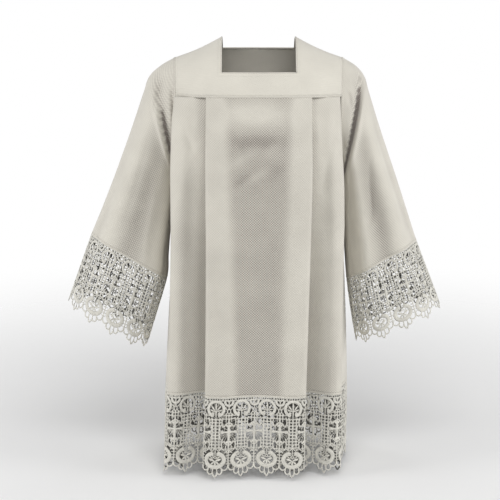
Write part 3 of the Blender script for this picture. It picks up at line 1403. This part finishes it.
def stitch_rows():
    """The rows of stitches beside the neck, the seams of the yoke, the armholes and the lace's seams."""
    rows = []
    for face, levels, creases in ((CHEST, FRONT_LEVELS, FRONT_CREASES), (BACK, BACK_LEVELS, BACK_CREASES)):
        side, panel = face["side"], (face, levels, creases)
        rows.append((*(neck_line(face, away, 0.1, 20, 50) for away in (0.006, 0.008)), side))
        rows.append((*(yoke_row(face, above) for above in (0.004, 0.006)), -side))
        rows.append((*(lace_row(*panel, above) for above in (0.004, 0.006)), -side))
        for way in (-1, 1):
            rows.append((*(shoulder_row(face, way, turn) for turn in (0.04, 0.06)), way * side))
            rows.append((*(armhole_row(face, way, inside) for inside in (0.005, 0.007)), way * side))
            rows.append((*(flank_row(*panel, way, under) for under in (0.005, 0.007)), way * side))
    turns = np.linspace(0, 2 * np.pi, 300)
    for sleeve in SLEEVES.values():
        lines = (sleeve_point(sleeve, CUFF_LACE_SECTION - up, turns) for up in (0.06, 0.09))
        rows.append((*lines, -sleeve["side"]))
    return rows


def seam_lines():
    """The cloth's seams as cords: the yoke's, then on each side the shoulder's, the armhole's and the side
    seam, then the sleeves' under the arm."""
    seams = []
    xs = np.linspace(-YOKE_HALF_WIDTH, YOKE_HALF_WIDTH, 90)
    for face in (CHEST, BACK):
        line = yoke_point(face, xs, np.full(xs.shape, YOKE_END_ANGLE - 0.004))
        seams.append((line + (0, face["side"] * 0.0005, 0), (0, 0, 1), "yoke"))
    for side in (-1, 1):
        x = side * np.linspace(NECK_HALF_WIDTH, YOKE_HALF_WIDTH, 30)
        line = np.stack([x, np.full(x.shape, SHOULDER_Y), shoulder_z(x)], 1)
        seams.append((line, (0, 1, 0), "shoulder"))
        loop = armhole_point(np.linspace(0, 2 * np.pi, 120), -1) * (side, 1, 1)
        seams.append((loop + (side * ARMHOLE_GAP / 2, 0, 0), (1, 0, 0), "armhole"))
        down = np.linspace(0, 1, 60)
        places = np.full(down.shape, side * HALF)
        line = body_point(CHEST, FRONT_LEVELS, FRONT_CREASES, places, down, LACE_TOP_Z)
        seams.append((line, (0, 1, 0), "side"))
    sections = np.linspace(0.1, CUFF_LACE_SECTION, 60)
    for sleeve in SLEEVES.values():
        line = sleeve_point(sleeve, sections, np.full(sections.shape, np.pi))
        seams.append((line, (0, 1, 0), "side"))
    return seams


def lace_seam_lines():
    """The seams of the lace as cords: the hem's, all round, and each cuff's."""
    u = np.linspace(0, 2 * HEM_REPEATS, 1200)
    lines = [(hem_surface()(u, np.zeros(u.shape)), (0, 0, 1), "lace")]
    for sleeve in SLEEVES.values():
        line = sleeve_point(sleeve, CUFF_LACE_SECTION, np.linspace(0, 2 * np.pi, 300))
        lines.append((line, (sleeve["side"] * 0.35, 0, -0.94), "lace"))
    return lines


class SURPLICE_OT_seams(bpy.types.Operator):
    """Builds the seams, the neck's rolled hem and the stitching"""

    bl_idname = "surplice.seams"
    bl_label = "Seams and stitching"

    def execute(self, context):
        neck = [(neck_line(face), (1, 0.3, 1), "neck") for face in (CHEST, BACK)]
        for name, lines in (("neck_hem", neck), ("seams", seam_lines()), ("lace_seams", lace_seam_lines())):
            dress(join_cords(name, lines, cloth_material()), "cloth")
        dress(join_stitches("stitches", stitch_rows()), "cloth")
        return {"FINISHED"}


FLOOR_RADIUS = 3.2
CAMERA_DROP = 213
CAMERA_FOCUS = 1300


def floor_material():
    """Painted studio floor with the faintest mottling, which fades into the white surroundings with the
    distance from its middle."""
    material, tree, shader = new_material("studio floor", (0.93, 0.93, 0.93), 0.9)
    place = node(tree, "ShaderNodeTexCoord").outputs["Object"]
    colour = mixed(tree, noise(tree, place, 2.0, 2.0), (0.94, 0.94, 0.94), (0.91, 0.91, 0.91))
    tree.links.new(colour, shader.inputs["Base Color"])
    flat = node(tree, "ShaderNodeVectorMath", {0: place, 1: (1, 1, 0)}, operation="MULTIPLY").outputs[0]
    far = node(tree, "ShaderNodeVectorMath", {0: flat}, operation="LENGTH").outputs["Value"]
    here = spread(tree, far, 0.3, 0.75 * FLOOR_RADIUS, 1.0, 0.0, interpolation_type="SMOOTHSTEP")
    tree.links.new(here, shader.inputs["Alpha"])
    return material


def white_surroundings(daylight):
    """White surroundings, which are seen at full brightness and light the scene with the given strength."""
    world = bpy.data.worlds.new("studio")
    world.use_nodes = True
    tree = world.node_tree
    background = tree.nodes["Background"]
    background.inputs["Color"].default_value = (1, 1, 1, 1)
    seen = node(tree, "ShaderNodeLightPath").outputs["Is Camera Ray"]
    tree.links.new(spread(tree, seen, 0.0, 1.0, daylight, 1.0), background.inputs["Strength"])
    return world


def add_light(name, place, towards, size, power, colour=(1, 1, 1)):
    """A soft square light that faces a point."""
    data = bpy.data.lights.new(name, "AREA")
    data.shape, data.size, data.size_y = "RECTANGLE", size[0], size[1]
    data.energy, data.color = power, colour
    lamp = bpy.data.objects.new(name, data)
    bpy.context.scene.collection.objects.link(lamp)
    lamp.location = place
    lamp.rotation_euler = (Vector(towards) - Vector(place)).to_track_quat("-Z", "Y").to_euler()
    return lamp


def add_camera():
    """The camera, which looks down from the height of the neck points: the horizon lies CAMERA_DROP above
    the middle of the picture, and the focal length is CAMERA_FOCUS, both in pixels."""
    data = bpy.data.cameras.new("camera")
    data.sensor_width = 36
    data.lens = 93.6
    camera = bpy.data.objects.new("camera", data)
    camera.location = (-0.017, -2.6, 0.0)
    camera.rotation_euler = (math.pi / 2 - math.atan(CAMERA_DROP / CAMERA_FOCUS), 0, 0)
    bpy.context.scene.collection.objects.link(camera)
    return camera


class SURPLICE_OT_studio(bpy.types.Operator):
    """Builds the pale floor, the soft lights and the camera"""

    bl_idname = "surplice.studio"
    bl_label = "Studio"

    def execute(self, context):
        studio = context.scene.surplice.studio
        radius = np.linspace(0, FLOOR_RADIUS, 9)[None, :]
        angle = np.linspace(0, 2 * np.pi, 49)[:-1, None]
        level = 0 * angle * radius + studio.floor_z
        flat = np.stack([radius * np.cos(angle), radius * np.sin(angle), level], -1)
        uv = np.concatenate([flat, flat[:1]])[..., :2]
        floor = add_sheet("studio_floor", flat, uv, floor_material(), closed=True)
        context.scene.world = white_surroundings(studio.daylight)
        context.scene.view_settings.view_transform = "Standard"
        middle = (0, 0, -0.4)
        for way in (-1, 1):
            add_light("front side", (way * 2.2, -0.8, -0.15), middle, (0.9, 2.0), studio.sides)
            add_light("back side", (way * 1.7, 1.9, -0.2), middle, (0.9, 1.6), studio.sides / 2)
        add_light("above", (0.2, -2.1, 1.7), (0, 0, -0.35), (1.8, 1.0), studio.above)
        context.scene.camera = add_camera()
        return {"FINISHED"}


class SURPLICE_PT_panel(bpy.types.Panel):
    """Lists the surplice's pieces and settings"""

    bl_label = "Surplice"
    bl_idname = "SURPLICE_PT_panel"
    bl_space_type = "VIEW_3D"
    bl_region_type = "UI"
    bl_category = "Surplice"

    def draw(self, context):
        settings = context.scene.surplice
        for group in (settings.cloth, settings.lace, settings.studio):
            box = self.layout.box()
            for name in group.__annotations__:
                box.prop(group, name)
        for maker in MAKERS:
            self.layout.operator(maker.bl_idname)


MAKERS = (
    SURPLICE_OT_yoke,
    SURPLICE_OT_body,
    SURPLICE_OT_sleeves,
    SURPLICE_OT_hem_lace,
    SURPLICE_OT_cuff_lace,
    SURPLICE_OT_seams,
    SURPLICE_OT_studio,
)
CLASSES = (ClothSettings, LaceSettings, StudioSettings, SurpliceSettings, *MAKERS, SURPLICE_PT_panel)


def register():
    for cls in CLASSES:
        bpy.utils.register_class(cls)
    bpy.types.Scene.surplice = PointerProperty(type=SurpliceSettings)


def unregister():
    del bpy.types.Scene.surplice
    for cls in reversed(CLASSES):
        bpy.utils.unregister_class(cls)


def main():
    """Builds everything in order."""
    register()
    for maker in MAKERS:
        group, name = maker.bl_idname.split(".")
        getattr(getattr(bpy.ops, group), name)()


if __name__ == "__main__":
    main()
